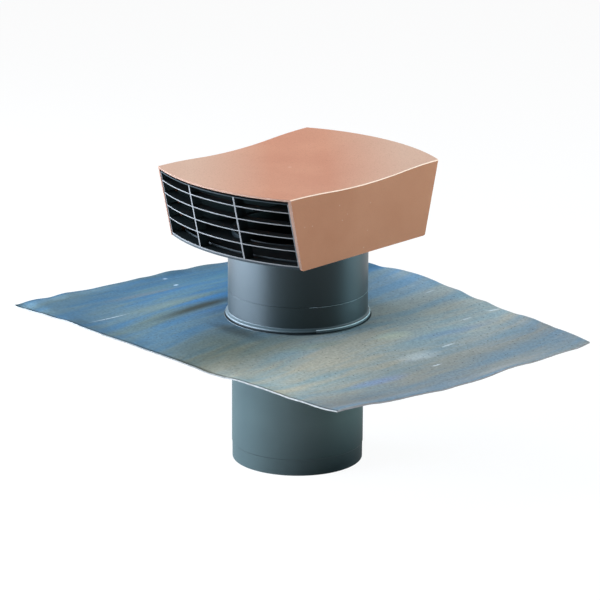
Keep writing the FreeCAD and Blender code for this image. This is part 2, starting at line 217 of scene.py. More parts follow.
# Materials
def moulded_terracotta(name, dark, light, sheen, gloss):
    """Terracotta-coloured polypropylene, injection moulded with a fine satin texture.

    The eye sees a warm pink brown with a fine grain and a few pale specks. It can be painted
    paler towards the front left and rear right, as a painted sheen, and on top lies the small
    round mark of the gate where the plastic came in.
    """
    material, tree, shader, place = new_material(name)
    cloud = add_node(tree, "ShaderNodeTexNoise", {"Vector": place, "Scale": per_length(80 * MM),
                                                  "Detail": 3})
    shade = add_node(tree, "ShaderNodeMapRange", {"Value": cloud.outputs["Fac"], "From Min": 0.35,
                                                  "From Max": 0.65})
    warm = add_node(tree, "ShaderNodeMix", {SHARE: shade.outputs["Result"],
                                            COLOUR_A: hex_colour(dark),
                                            COLOUR_B: hex_colour(light)}, data_type="RGBA")
    diagonal = add_node(tree, "ShaderNodeVectorMath", {0: place, 1: (1, 1, 0)},
                        operation="DOT_PRODUCT")
    either_way = add_node(tree, "ShaderNodeMath", {0: diagonal.outputs["Value"]},
                          operation="ABSOLUTE")
    # A painted sheen: paler towards the front left and rear right
    painted_sheen = add_node(tree, "ShaderNodeMapRange", {"Value": either_way.outputs[0],
                                                 "From Min": 45 * MM, "From Max": 170 * MM,
                                                 "To Max": sheen})
    pale = add_node(tree, "ShaderNodeMix", {SHARE: painted_sheen.outputs["Result"],
                                            COLOUR_A: warm.outputs[COLOUR_OUT],
                                            COLOUR_B: hex_colour("#DDC0AC")}, data_type="RGBA")
    # The moulded texture is finer than a pixel, so it is drawn at 1.6 mm
    grain = add_node(tree, "ShaderNodeTexNoise", {"Vector": place, "Scale": per_length(1.6 * MM),
                                                  "Detail": 2})
    dark_specks = add_node(tree, "ShaderNodeMapRange", {"Value": grain.outputs["Fac"],
                                                        "From Min": 0.5, "From Max": 0.8,
                                                        "To Max": 0.35})
    grained = add_node(tree, "ShaderNodeMix", {SHARE: dark_specks.outputs["Result"],
                                               COLOUR_A: pale.outputs[COLOUR_OUT],
                                               COLOUR_B: hex_colour("#94604A")}, data_type="RGBA")
    dust = add_node(tree, "ShaderNodeTexVoronoi", {"Vector": place, "Scale": per_length(16 * MM)})
    pale_specks = add_node(tree, "ShaderNodeMapRange", {"Value": dust.outputs["Distance"],
                                                        "From Min": 0.03, "From Max": 0.07,
                                                        "To Min": 0.15, "To Max": 0.0})
    specked = add_node(tree, "ShaderNodeMix", {SHARE: pale_specks.outputs["Result"],
                                               COLOUR_A: grained.outputs[COLOUR_OUT],
                                               COLOUR_B: hex_colour("#E8CDBE")}, data_type="RGBA")
    from_gate = add_node(tree, "ShaderNodeVectorMath", {0: place, 1: GATE}, operation="DISTANCE")
    gate = add_node(tree, "ShaderNodeMapRange", {"Value": from_gate.outputs["Value"],
                                                 "From Min": 2 * MM, "From Max": 3 * MM,
                                                 "To Min": 0.5, "To Max": 0.0})
    marked = add_node(tree, "ShaderNodeMix", {SHARE: gate.outputs["Result"],
                                              COLOUR_A: specked.outputs[COLOUR_OUT],
                                              COLOUR_B: hex_colour("#E0B49E")}, data_type="RGBA")
    tree.links.new(marked.outputs[COLOUR_OUT], shader.inputs["Base Color"])
    relief = add_node(tree, "ShaderNodeBump", {"Height": grain.outputs["Fac"],
                                               "Distance": 0.04 * MM})
    tree.links.new(relief.outputs["Normal"], shader.inputs["Normal"])
    shader.inputs["Specular IOR Level"].default_value = gloss
    shader.inputs["Roughness"].default_value = 0.7
    return material


def painted_edge_terracotta(name, dark, light, gloss):
    """The same plastic on its edges, painted lighter as a highlight or darker and greyer as shade.
    """
    material, tree, shader, place = new_material(name)
    grain = add_node(tree, "ShaderNodeTexNoise", {"Vector": place, "Scale": per_length(9 * MM),
                                                  "Detail": 2})
    base = add_node(tree, "ShaderNodeMix", {SHARE: grain.outputs["Fac"], COLOUR_A: hex_colour(dark),
                                            COLOUR_B: hex_colour(light)}, data_type="RGBA")
    tree.links.new(base.outputs[COLOUR_OUT], shader.inputs["Base Color"])
    shader.inputs["Specular IOR Level"].default_value = gloss
    shader.inputs["Roughness"].default_value = 0.35
    return material


# The way towards which the tubes are painted lighter, as painted light
PAINTED_LIGHT_SIDE = (0.72, 0.69, 0)


def extruded_dark(name, dark, light, lit_tone, roughness, gloss):
    """Blue-grey polypropylene tube, extruded.

    The eye sees a satin skin with faint clouds and long soft highlights, a little blue in their
    shine, a painted reflection. The side towards +X and +Y is painted lighter, in the colour given
    for it, as painted light, and on that side it is darker near the lower mouth.
    """
    material, tree, shader, place = new_material(name)
    cloud = add_node(tree, "ShaderNodeTexNoise", {"Vector": place, "Scale": per_length(40 * MM),
                                                  "Detail": 3})
    fresh = add_node(tree, "ShaderNodeMix", {SHARE: cloud.outputs["Fac"],
                                             COLOUR_A: hex_colour(dark),
                                             COLOUR_B: hex_colour(light)}, data_type="RGBA")
    # Painted light: the side towards +X and +Y is painted lighter
    diagonal = add_node(tree, "ShaderNodeVectorMath", {0: place, 1: PAINTED_LIGHT_SIDE},
                        operation="DOT_PRODUCT")
    lit_share = add_node(tree, "ShaderNodeMapRange", {"Value": diagonal.outputs["Value"],
                                                "From Min": -60 * MM, "From Max": 50 * MM})
    base = add_node(tree, "ShaderNodeMix", {SHARE: lit_share.outputs["Result"],
                                            COLOUR_A: fresh.outputs[COLOUR_OUT],
                                            COLOUR_B: hex_colour(lit_tone)}, data_type="RGBA")
    parts = add_node(tree, "ShaderNodeSeparateXYZ", {0: place})
    # On that side the skin is darker towards the lower mouth
    lowness = add_node(tree, "ShaderNodeMapRange", {"Value": parts.outputs["Z"],
                                                    "From Max": 60 * MM, "To Min": 1.15,
                                                    "To Max": 0})
    low_darkening = add_node(tree, "ShaderNodeMath",
                    {0: lowness.outputs["Result"], 1: lit_share.outputs["Result"]},
                    operation="MULTIPLY", use_clamp=True)
    darkened_low = add_node(tree, "ShaderNodeMix", {SHARE: low_darkening.outputs[0],
                                             COLOUR_A: base.outputs[COLOUR_OUT],
                                             COLOUR_B: hex_colour("#141B1C")}, data_type="RGBA")
    tree.links.new(darkened_low.outputs[COLOUR_OUT], shader.inputs["Base Color"])
    # The drawn skin's texture is finer than a pixel, so it is drawn at 1.2 mm
    grain = add_node(tree, "ShaderNodeTexNoise", {"Vector": place, "Scale": per_length(1.2 * MM),
                                                  "Detail": 2})
    relief = add_node(tree, "ShaderNodeBump", {"Height": grain.outputs["Fac"],
                                               "Distance": 0.02 * MM})
    tree.links.new(relief.outputs["Normal"], shader.inputs["Normal"])
    shader.inputs["Specular IOR Level"].default_value = gloss
    # The blue tint of the shine is a painted reflection of a blue surround
    shader.inputs["Specular Tint"].default_value = hex_colour("#E9F9FF")
    shader.inputs["Roughness"].default_value = roughness
    return material


def shaded_dark():
    """The same plastic where it lies in shade, painted nearly black as painted shade, a little
    dusty.
    """
    material, tree, shader, place = new_material("Black-grey polypropylene, painted shade")
    dust = add_node(tree, "ShaderNodeTexNoise", {"Vector": place, "Scale": per_length(12 * MM),
                                                 "Detail": 3})
    base = add_node(tree, "ShaderNodeMix", {SHARE: dust.outputs["Fac"],
                                            COLOUR_A: hex_colour("#0C1315"),
                                            COLOUR_B: hex_colour("#121A1C")}, data_type="RGBA")
    tree.links.new(base.outputs[COLOUR_OUT], shader.inputs["Base Color"])
    shader.inputs["Specular IOR Level"].default_value = 0.1
    shader.inputs["Roughness"].default_value = 0.6
    return material


def painted_edge_dark(name, dark, light, gloss):
    """Edges of the same plastic, painted as a highlight or as shade, so each shows as a thin line.
    """
    material, tree, shader, place = new_material(name)
    wear = add_node(tree, "ShaderNodeTexNoise", {"Vector": place, "Scale": per_length(7 * MM),
                                                 "Detail": 2})
    base = add_node(tree, "ShaderNodeMix", {SHARE: wear.outputs["Fac"], COLOUR_A: hex_colour(dark),
                                            COLOUR_B: hex_colour(light)}, data_type="RGBA")
    tree.links.new(base.outputs[COLOUR_OUT], shader.inputs["Base Color"])
    shader.inputs["Specular IOR Level"].default_value = gloss
    shader.inputs["Roughness"].default_value = 0.5
    return material


def black_rubber():
    """EPDM rubber, moulded: black and dull, with a faint grey bloom."""
    material, tree, shader, place = new_material("EPDM rubber, moulded")
    bloom = add_node(tree, "ShaderNodeTexNoise", {"Vector": place, "Scale": per_length(15 * MM),
                                                  "Detail": 3})
    base = add_node(tree, "ShaderNodeMix", {SHARE: bloom.outputs["Fac"],
                                            COLOUR_A: hex_colour("#151515"),
                                            COLOUR_B: hex_colour("#262727")}, data_type="RGBA")
    tree.links.new(base.outputs[COLOUR_OUT], shader.inputs["Base Color"])
    shader.inputs["Roughness"].default_value = 0.8
    return material


def streak_on(tree, sheet, x, y, slant, half_width, half_length):
    """1 in the middle of a long oval mark on the sheet and 0 outside it.

    The lengths are in mm and the slant in degrees. The mark has the same shape at any height.
    """
    endless = 1000
    size = (half_width * MM, half_length * MM, endless)
    inside = add_node(tree, "ShaderNodeMapping",
                      {"Vector": sheet, "Location": (x * MM, y * MM, 0),
                       "Rotation": (0, 0, math.radians(slant)), "Scale": size},
                      vector_type="TEXTURE")
    away = add_node(tree, "ShaderNodeVectorMath", {0: inside.outputs["Vector"]}, operation="LENGTH")
    mark = add_node(tree, "ShaderNodeMapRange", {"Value": away.outputs["Value"], "From Min": 0.3,
                                                 "From Max": 1, "To Min": 1, "To Max": 0})
    return mark.outputs["Result"]


def rolled_lead():
    """Milled lead sheet, rolled and handled: a dull metal with bloom in bands along its grain.

    The eye sees strong blue on the left, a dull olive front middle and a silvery right part, with
    streaks of blue and olive, a dark crease, pale scratches and small dark pits. The blues are a
    painted reflection of a blue surround, and two marks are a painted shadow and a painted
    highlight.
    """
    material, tree, shader, place = new_material("Lead sheet, milled and weathered")
    turned = add_node(tree, "ShaderNodeMapping", {"Vector": place, "Rotation": (0, 0, -SHEET_TURN)})
    sheet = turned.outputs["Vector"]

    # Bands of bloom and painted reflection, which wander a little and change from front to rear
    wander = add_node(tree, "ShaderNodeTexNoise", {"Vector": sheet, "Scale": per_length(90 * MM),
                                                   "Detail": 2})
    wandered = add_node(tree, "ShaderNodeMapRange", {"Value": wander.outputs["Fac"],
                                                     "To Min": -14 * MM, "To Max": 14 * MM})
    across = add_node(tree, "ShaderNodeSeparateXYZ", {0: sheet})
    shifted = add_node(tree, "ShaderNodeMath", {0: across.outputs["X"],
                                                1: wandered.outputs["Result"]}, operation="ADD")
    band = add_node(tree, "ShaderNodeMapRange", {"Value": shifted.outputs[0],
                                                 "From Min": -SHEET_LENGTH / 2,
                                                 "From Max": SHEET_LENGTH / 2})
    bands = []
    for stops in (FRONT_BLOOM_AND_REFLECTION, REAR_BLOOM_AND_REFLECTION):
        ramp = add_node(tree, "ShaderNodeValToRGB", {"Fac": band.outputs["Result"]})
        elements = ramp.color_ramp.elements
        while len(elements) < len(stops):
            elements.new(1.0)
        for element, (position, code) in zip(elements, stops):
            element.position = position
            element.color = hex_colour(code)
        bands.append(ramp.outputs["Color"])
    depth = add_node(tree, "ShaderNodeMapRange", {"Value": across.outputs["Y"],
                                                  "From Min": -130 * MM, "From Max": 110 * MM})
    bloom = add_node(tree, "ShaderNodeMix", {SHARE: depth.outputs["Result"], COLOUR_A: bands[0],
                                             COLOUR_B: bands[1]}, data_type="RGBA")

    # Streaks along the way the sheet was rolled, weaker on the right; their blue is a painted
    # reflection
    drawn_out = add_node(tree, "ShaderNodeMapping", {"Vector": sheet, "Scale": (1, 0.15, 1)})
    streaks = add_node(tree, "ShaderNodeTexNoise", {"Vector": drawn_out.outputs["Vector"],
                                                    "Scale": per_length(20 * MM), "Detail": 4})
    streak = add_node(tree, "ShaderNodeMapRange", {"Value": streaks.outputs["Fac"],
                                                   "From Min": 0.38, "From Max": 0.62})
    tint = add_node(tree, "ShaderNodeMix", {SHARE: streak.outputs["Result"], VECTOR_A: BLUER,
                                            VECTOR_B: WARMER}, data_type="VECTOR")
    calmer = add_node(tree, "ShaderNodeMapRange", {"Value": band.outputs["Result"], "From Min": 0.3,
                                                   "From Max": 0.6, "To Max": 0.3})
    calmed = add_node(tree, "ShaderNodeMix", {SHARE: calmer.outputs["Result"],
                                              VECTOR_A: tint.outputs[VECTOR_OUT],
                                              VECTOR_B: UNCHANGED}, data_type="VECTOR")
    tinted = add_node(tree, "ShaderNodeVectorMath", {0: bloom.outputs[COLOUR_OUT],
                                                     1: calmed.outputs[VECTOR_OUT]},
                      operation="MULTIPLY")
    colour = tinted.outputs["Vector"]

    # The larger marks, then pits and grain, and a dark line along the front edge
    for strength, code, *shape in SHEET_MARKS:
        share = add_node(tree, "ShaderNodeMath", {0: streak_on(tree, sheet, *shape), 1: strength},
                         operation="MULTIPLY")
        marked = add_node(tree, "ShaderNodeMix", {SHARE: share.outputs[0], COLOUR_A: colour,
                                                  COLOUR_B: hex_colour(code)}, data_type="RGBA")
        colour = marked.outputs[COLOUR_OUT]
    dots = add_node(tree, "ShaderNodeTexVoronoi", {"Vector": place, "Scale": per_length(7 * MM)})
    pits = add_node(tree, "ShaderNodeMapRange", {"Value": dots.outputs["Distance"],
                                                 "From Min": 0.08, "From Max": 0.15, "To Min": 0.7,
                                                 "To Max": 0.0})
    pitted = add_node(tree, "ShaderNodeMix", {SHARE: pits.outputs["Result"], COLOUR_A: colour,
                                              COLOUR_B: hex_colour("#3A4040")}, data_type="RGBA")
    # The real grain is under a millimetre, too fine to show, so it is drawn at 3 mm
    grain = add_node(tree, "ShaderNodeTexNoise", {"Vector": place, "Scale": per_length(3 * MM),
                                                  "Detail": 4})
    speck = add_node(tree, "ShaderNodeMapRange", {"Value": grain.outputs["Fac"], "From Min": 0.3,
                                                  "From Max": 0.7, "To Min": 0.84, "To Max": 1.16})
    front_edge = add_node(tree, "ShaderNodeMapRange", {"Value": across.outputs["Y"],
                                                       "From Min": -191.5 * MM,
                                                       "From Max": -190 * MM, "To Min": 0.5})
    shaded = add_node(tree, "ShaderNodeMath", {0: speck.outputs["Result"],
                                               1: front_edge.outputs["Result"]},
                      operation="MULTIPLY")
    grained = add_node(tree, "ShaderNodeVectorMath", {0: pitted.outputs[COLOUR_OUT],
                                                      "Scale": shaded.outputs[0]},
                       operation="SCALE")
    tree.links.new(grained.outputs[0], shader.inputs["Base Color"])
    relief = add_node(tree, "ShaderNodeBump", {"Height": streaks.outputs["Fac"],
                                               "Distance": 0.8 * MM})
    tree.links.new(relief.outputs["Normal"], shader.inputs["Normal"])
    shader.inputs["Metallic"].default_value = 0.35
    shader.inputs["Specular IOR Level"].default_value = 0.1
    shader.inputs["Roughness"].default_value = 0.75
    return material


def cut_lead(name, dark, light):
    """The same sheet where it was cut: bare metal, without the bloom, along its edge."""
    material, tree, shader, place = new_material(name)
    nicks = add_node(tree, "ShaderNodeTexNoise", {"Vector": place, "Scale": per_length(5 * MM),
                                                  "Detail": 2})
    base = add_node(tree, "ShaderNodeMix", {SHARE: nicks.outputs["Fac"], COLOUR_A: hex_colour(dark),
                                            COLOUR_B: hex_colour(light)}, data_type="RGBA")
    tree.links.new(base.outputs[COLOUR_OUT], shader.inputs["Base Color"])
    shader.inputs["Metallic"].default_value = 0.4
    shader.inputs["Specular IOR Level"].default_value = 0.2
    shader.inputs["Roughness"].default_value = 0.55
    return material


# The sheet lies turned a little about the duct, and is cut a hair smaller than its solid
SHEET_TURN = math.radians(-3.8)
SHEET_LENGTH = 545.0 * MM
SHEET_WIDTH = 388.2 * MM

# What a streak does to the red, green and blue of the bloom
BLUER = (0.7, 0.92, 1.08)
WARMER = (1.26, 1.07, 0.9)
UNCHANGED = (1, 1, 1)

# The colours on the sheet from its left end to its right end, along the front and along the rear:
# grey and olive bloom, with blues that are a painted reflection of a blue surround
SLATE_BLUE = "#425C6B"
OLIVE_GREY = "#4A534E"
SEA_BLUE = "#29536C"
PALE_BLUE = "#8DA2AE"
OLD_SILVER = "#90958E"
SILVER = "#A4ACAC"
DULL_GREY = "#7C888F"
LEAD_GREY = "#646D72"
FRONT_BLOOM_AND_REFLECTION = [(0, SLATE_BLUE), (0.42, SLATE_BLUE), (0.57, OLIVE_GREY), (0.75, OLD_SILVER),
               (0.83, OLD_SILVER), (0.96, LEAD_GREY)]
REAR_BLOOM_AND_REFLECTION = [(0, SLATE_BLUE), (0.1, SEA_BLUE), (0.33, SEA_BLUE), (0.56, PALE_BLUE),
              (0.7, SILVER), (0.76, SILVER), (0.88, DULL_GREY)]

# Marks on the sheet: strength, colour, place across and along in mm, slant in degrees, and half
# width and half length in mm. The real scratches are hair-fine, so they are drawn 3 mm wide
SHEET_MARKS = [
    (0.5, "#4C5246", 4, -125, -8, 34, 70),
    (0.45, "#565848", 62, -98, -8, 32, 70),
    # A painted shadow in front of the collar
    (0.6, "#2C3230", 2, -96, 90, 14, 55),
    # A painted reflection of a blue surround
    (0.4, "#1E5A8C", -76, -45, -4, 14, 62),
    (0.55, "#4E5646", -101, -108, -3, 22, 105),
    (0.85, "#262C26", -98, -62, -2, 12, 72),
    # A painted reflection of a blue surround
    (0.35, "#2C6698", -119, -35, -5, 9, 60),
    (0.5, "#646C58", -144, -88, -8, 19, 95),
    (0.4, "#5A5E60", -205, -55, -6, 10, 70),
    (0.4, "#80826A", 98, -64, -20, 12, 48),
    # Two painted reflections of a blue surround
    (0.5, "#7088B0", 208, -72, -3, 10, 50),
    (0.4, "#6A8CB4", 150, 100, -4, 8, 80),
    (0.4, "#C8CED2", 181, 16, -4, 11, 36),
    # A painted highlight
    (0.45, "#C0C8B4", 126, 28, -6, 12, 32),
    (0.45, "#B9C4CC", -156, -148, -9, 1.6, 30),
    (0.55, "#DDE6EE", 131, 139, 0, 1.8, 12),
    (0.7, "#E8EEF4", 131, 184, -8, 1.8, 12),
    (0.6, "#DDE6EE", 175, 67, 4, 1.8, 14),
    (0.55, "#DDE6EE", 208, 17, 0, 1.8, 9),
    (0.5, "#D4DEE6", 43, 167, 0, 1.8, 10),
    (0.6, "#C4D2E0", -213, 1, 0, 3.5, 4),
    (0.5, "#C4D2E0", -250, 16, 0, 3, 4),
]

# Where the plastic entered the mould, in the middle of the hood's top
GATE = (-6 * MM, -8 * MM, 341 * MM)

TERRACOTTA = moulded_terracotta("Terracotta polypropylene, satin top with painted sheen", "#CD8E73", "#D4977B",
                               sheen=0.72, gloss=0.5)
# The walls are painted darker than the top, as painted shade
TERRACOTTA_SHADED_SIDE = moulded_terracotta("Terracotta polypropylene, textured sides with painted shade",
                                     "#A6674A", "#AE6F52", sheen=0.0, gloss=0.08)
# The chamfers get a painted highlight, the front and rear faces painted shade
TERRACOTTA_HIGHLIGHT_EDGE = painted_edge_terracotta("Terracotta polypropylene, edge with painted highlight",
                                      "#F8CDB2", "#FDDCC6", gloss=0.5)
TERRACOTTA_SHADED_FRONT = painted_edge_terracotta("Terracotta polypropylene, front edge with painted shade",
                                       "#927060", "#9E7C6A", gloss=0.15)
# The sleeve's skin is painted far darker than the duct's, as painted shade under the hood
SLEEVE_SKIN_SHADED = extruded_dark("Blue-grey polypropylene, satin sleeve with painted shade", "#050D0E", "#081213",
                            lit_tone="#0B1314", roughness=0.38, gloss=0.38)
DUCT_SKIN = extruded_dark("Blue-grey polypropylene, dull duct", "#262F2F", "#2D3736",
                          lit_tone="#3D4340", roughness=0.6, gloss=0.06)
# Nearly black, as painted shade inside the hood, in grooves and in the bore
DARK_PAINTED_SHADE = shaded_dark()
# Edge colours: painted highlights, and on the dim edges painted shade
DARK_HIGHLIGHT_EDGE = painted_edge_dark("Blue-grey polypropylene, edge with painted highlight", "#3E3D3C", "#4A4846", gloss=0.45)
DIM_EDGE = painted_edge_dark("Blue-grey polypropylene, edge in the shade", "#14191B", "#1C2224",
                       gloss=0.15)
TUBE_HIGHLIGHT_EDGE = painted_edge_dark("Blue-grey polypropylene, rim with painted highlight", "#273437", "#334145", gloss=0.4)
SEAM_HIGHLIGHT_EDGE = painted_edge_dark("Blue-grey polypropylene, seam with painted highlight", "#A0AEB2", "#B2C0C4", gloss=0.5)
RUBBER = black_rubber()
LEAD = rolled_lead()
LEAD_CUT = cut_lead("Lead sheet, fresh cut edge", "#3A3936", "#6A6864")
LEAD_DULL_CUT = cut_lead("Lead sheet, dull cut edge", "#6E625E", "#84787A")


# Hood
def paint_faces(piece, chosen, number):
    """Give the piece's material of this number to the faces that the test chooses."""
    for polygon in piece.data.polygons:
        if chosen(polygon):
            polygon.material_index = number


def build_cap():
    """The terracotta shell: walls in painted shade, a paler top, and rims with a painted highlight.
    """
    cap = cleaned_copy("cap_cover", "cap")
    rim, top, front = 1, 2, 3
    materials = [TERRACOTTA_SHADED_SIDE, TERRACOTTA_HIGHLIGHT_EDGE, TERRACOTTA, TERRACOTTA_SHADED_FRONT]
    finish_piece(cap, materials, "terracotta_plastic", "cap_cover")
    # The walls and the front and rear faces are painted darker as painted shade, the chamfers get a
    # painted highlight
    paint_faces(cap, lambda face: face.normal.z > LEANING and abs(face.normal.x) > LEANING, rim)
    paint_faces(cap, lambda face: face.normal.z > LEVEL, top)
    paint_faces(cap, lambda face: abs(face.normal.y) > BOWED, front)
    soften_edges(cap, 0.4 * MM, edge_material=rim)
    paint_faces(cap, lambda face: face.material_index == rim and abs(face.normal.y) > LEANING,
                front)


def build_grille(node, name, outward):
    """A louvre grille in painted shade, with a paler face on each outward edge as a painted
    highlight.
    """
    grille = cleaned_copy(node, name)
    pale = 1
    finish_piece(grille, [DARK_PAINTED_SHADE, DARK_HIGHLIGHT_EDGE], "dark_plastic", node)
    under_rail = heights(node)[1] - 3 * MM
    soften_edges(grille, 0.2 * MM)
    # The edges that look outwards get a painted highlight
    paint_faces(grille, lambda face: face.normal.y * outward > TURNED
                and face.center.z < under_rail, pale)


def build_floor():
    """The hood's floor in painted shade, with a pale painted highlight along its bowed lower edges.
    """
    floor = cleaned_copy("hood_floor", "hood_base")
    dim, pale = 1, 2
    finish_piece(floor, [DARK_PAINTED_SHADE, DIM_EDGE, DARK_HIGHLIGHT_EDGE], "dark_plastic", "hood_floor")
    lip = heights("hood_floor")[0] + 3 * MM
    beyond_socket = 95 * MM
    soften_edges(floor, 0.4 * MM, edge_material=dim)
    # Its bevels are painted darker as shade, the bowed lower edges get a painted highlight
    paint_faces(floor, lambda face: face.material_index == dim and abs(face.normal.y) > LEANING
                and face.center.z < lip and reach(face.center) > beyond_socket, pale)


# Tubes
def build_sleeve():
    """The outer sleeve, a plain tube from the hood's floor down to the seam."""
    bore = ring_radius("collar_seal")
    outside = ring_radius("head_sleeve")
    low, high = heights("head_sleeve")
    sleeve = turned_ring("sleeve", [(bore, low), (outside, low), (outside, high), (bore, high)])
    finish_piece(sleeve, [SLEEVE_SKIN_SHADED], "dark_plastic", "head_sleeve")
    soften_edges(sleeve, 0.5 * MM)


def to_gleam(face):
    """How far a face lies towards +X and +Y, the side where the collar's edges get a painted
    highlight.
    """
    return face.center.x + face.center.y


def build_collar():
    """A wall that spreads into a foot, over a groove in shadow, with a thin bead below it."""
    bore = ring_radius("collar_seal")
    wall = ring_radius("head_sleeve")
    rim = ring_radius("storm_collar")
    low, high = heights("storm_collar")
    corner = 0.3 * MM
    bead = low + 0.8 * MM
    foot = low + 1.4 * MM
    body = low + 3 * MM
    shoulder = low + 4.2 * MM
    wall_foot = shoulder + 2.3 * MM
    toe = wall + 2.8 * MM
    collar = turned_ring("collar", [
        (bore, low), (rim - corner, low), (rim, low + corner), (rim, bead - 0.2 * MM),
        (rim - corner, bead), (wall + 1.6 * MM, bead), (wall + 1.4 * MM, foot),
        (toe - corner, foot), (toe, foot + corner), (toe, body), (toe - 0.2 * MM, shoulder),
        (toe - 0.8 * MM, shoulder + 0.6 * MM), (wall + 0.7 * MM, shoulder + 1.3 * MM),
        (wall, wall_foot), (wall, high), (bore, high),
    ])
    # The polished slot holds a painted highlight, the dark slot painted shade, the seam slot a
    # painted highlight
    dark, polished, seam = 1, 2, 3
    materials = [SLEEVE_SKIN_SHADED, DARK_PAINTED_SHADE, TUBE_HIGHLIGHT_EDGE, SEAM_HIGHLIGHT_EDGE]
    finish_piece(collar, materials, "dark_plastic", "storm_collar")
    soften_edges(collar, 0.3 * MM)

    # The foot and the bead get a painted highlight, the foot's shaded side and the groove painted
    # shade
    gleam_from = 25 * MM
    bead_edge = rim - 0.6 * MM
    paint_faces(collar, lambda face: reach(face.center) > wall and face.center.z < wall_foot,
                polished)
    paint_faces(collar, lambda face: reach(face.center) > wall and face.center.z < body
                and to_gleam(face) < gleam_from, dark)
    paint_faces(collar, lambda face: wall < reach(face.center) < bead_edge
                and face.center.z < foot + 0.1 * MM, dark)
    paint_faces(collar, lambda face: reach(face.center) > bead_edge, polished)

    # A pale line is painted along the shoulder and along the seam, as a highlight where the light
    # falls
    seam_from = 15 * MM
    paint_faces(collar, lambda face: shoulder - 0.2 * MM < face.center.z < shoulder + 0.8 * MM
                and reach(face.center) > wall and to_gleam(face) > gleam_from, seam)
    paint_faces(collar, lambda face: face.center.z > high - 0.4 * MM
                and reach(face.center) > wall - 0.4 * MM and to_gleam(face) > seam_from, seam)


def build_duct():
    """The inner duct, with a step above its tapered mouth and a stop rib under the flashing."""
    outside = 75 * MM
    bore = outside - 2.2 * MM
    rib = ring_radius("duct_spigot")
    low, high = heights("duct_spigot")
    step_low = 18.9 * MM
    step_high = 19.3 * MM
    rib_slope = 4 * MM
    rib_top = 167.5 * MM
    duct = turned_ring("duct", [
        (bore, low), (outside - 0.6 * MM, low), (outside - 0.5 * MM, step_low),
        (outside, step_high), (outside, rib_top - rib_slope), (rib, rib_top),
        (outside, rib_top), (outside, high), (bore, high),
    ])
    dark, dim = 1, 2
    finish_piece(duct, [DUCT_SKIN, DARK_PAINTED_SHADE, DIM_EDGE], "dark_plastic", "duct_spigot")
    soften_edges(duct, 0.4 * MM)
    # The bore and the top inside the hood are painted nearly black, the top edge and the step
    # darker, as painted shade
    spare = 0.1 * MM
    paint_faces(duct, lambda face: reach(face.center) < bore + spare or face.center.z > rib_top,
                dark)
    paint_faces(duct, lambda face: face.center.z > high - 0.5 * MM, dim)
    paint_faces(duct, lambda face: reach(face.center) > bore + 1 * MM
                and step_low - spare < face.center.z < step_high + spare, dim)


# Lead flashing
def on_sheet(place):
    """A place in the sheet's own length and width, from -1 to 1 between its edges."""
    turned = Matrix.Rotation(-SHEET_TURN, 2) @ place.xy
    return turned.x * 2 / SHEET_LENGTH, turned.y * 2 / SHEET_WIDTH


def sheet_place(across, along):
    """The place, at a height of 0, of a point given in the sheet's own length and width."""
    flat = Vector((across * SHEET_LENGTH / 2, along * SHEET_WIDTH / 2))
    return (Matrix.Rotation(SHEET_TURN, 2) @ flat).to_3d()


# How far each edge of the sheet is bent up or down, in mm, at even steps along it, from the front
# to the rear or from the left to the right. Another script measured them along the sheet's
# outline in the photo, apart from those at the rear left, which are hidden there and made up
EDGE_LIFTS = {
    "left": [-2.7, -1.9, -1.8, -3.1, -0.1, -1.3, -1.8, -2, -1.2, -1.1, -1, -0.2, 0.5, -0.4, 1.7,
             2.2, 0.1, 0.7, 1.5, 0.8, -0.6, -0.4, 0.3, -0.3, 0.2],
    "rear": [0.3, -0.4, 0.4, -0.5, 0.3, -0.3, 0.5, -0.4, 0.3, -1.6, 0.3, 1.2, 1.5, 0.5, -1.3,
             -0.7, -3, -1, -1.9, -0.5, 2.4, 3, 2.9, 3.4, 2.3],
    "right": [1.7, 2.3, 3.5, 2.9, 2, 2.4, 2.7, 2.6, 2.5, 2, 1.2, 2.2, 2, 1.8, 2.6, 4, 4.7, 4.8,
              3.9, 2.7, 2.3, 2.2, 1.8, 0.4, -1],
    "front": [-3.6, -2.5, -0.7, 0.1, 2, 1.5, 1.3, 1, 1.1, 0.8, -0.1, -0.4, -0.6, -0.8, -1.1,
              -1.9, -0.7, 1.6, 2, 2, 1.1, 0.1, 0.3, -0.5, -0.7],
}

# The step between two bends as a share of half the edge, and how far round it a bend reaches
LIFT_STEP = 0.08
LIFT_REACH = 24 * MM


def bend_edges(flashing):
    """Pull the sheet's outline up and down, with soft falloff, so that it waves as measured.

    Neighbouring pulls reach into each other, so each one gives only a share of its height.
    """
    tree = KDTree(len(flashing.data.vertices))
    for vertex in flashing.data.vertices:
        tree.insert((vertex.co.x, vertex.co.y, 0), vertex.index)
    tree.balance()
    for edge, lifts in EDGE_LIFTS.items():
        half = (SHEET_WIDTH if edge in ("left", "right") else SHEET_LENGTH) / 2
        share = LIFT_STEP * half / LIFT_REACH
        for number, lift in enumerate(lifts):
            along = (number - (len(lifts) - 1) / 2) * LIFT_STEP
            ends = {"left": (-1, along), "rear": (along, 1), "right": (1, along),
                    "front": (along, -1)}
            chosen = tree.find(sheet_place(*ends[edge]))[1]
            spot = flashing.data.vertices[chosen].co.copy()
            select_vertices(flashing, lambda place: place == spot)
            bpy.ops.transform.translate(value=(0, 0, lift * share * MM), use_proportional_edit=True,
                                        proportional_edit_falloff="SMOOTH",
                                        proportional_size=LIFT_REACH)
            bpy.ops.object.mode_set(mode="OBJECT")


def joined_with_bar(piece, operation, radius, low, high):
    """Add a round bar about the duct's axis to a solid piece, or take it away."""
    start_piece()
    bpy.ops.mesh.primitive_cylinder_add(vertices=RING_STEPS, radius=radius, depth=high - low,
                                        location=(0, 0, (low + high) / 2))
    bar = bpy.context.object
    apply_modifier(piece, "BOOLEAN", object=bar, operation=operation, solver="EXACT")
    bpy.data.objects.remove(bar)


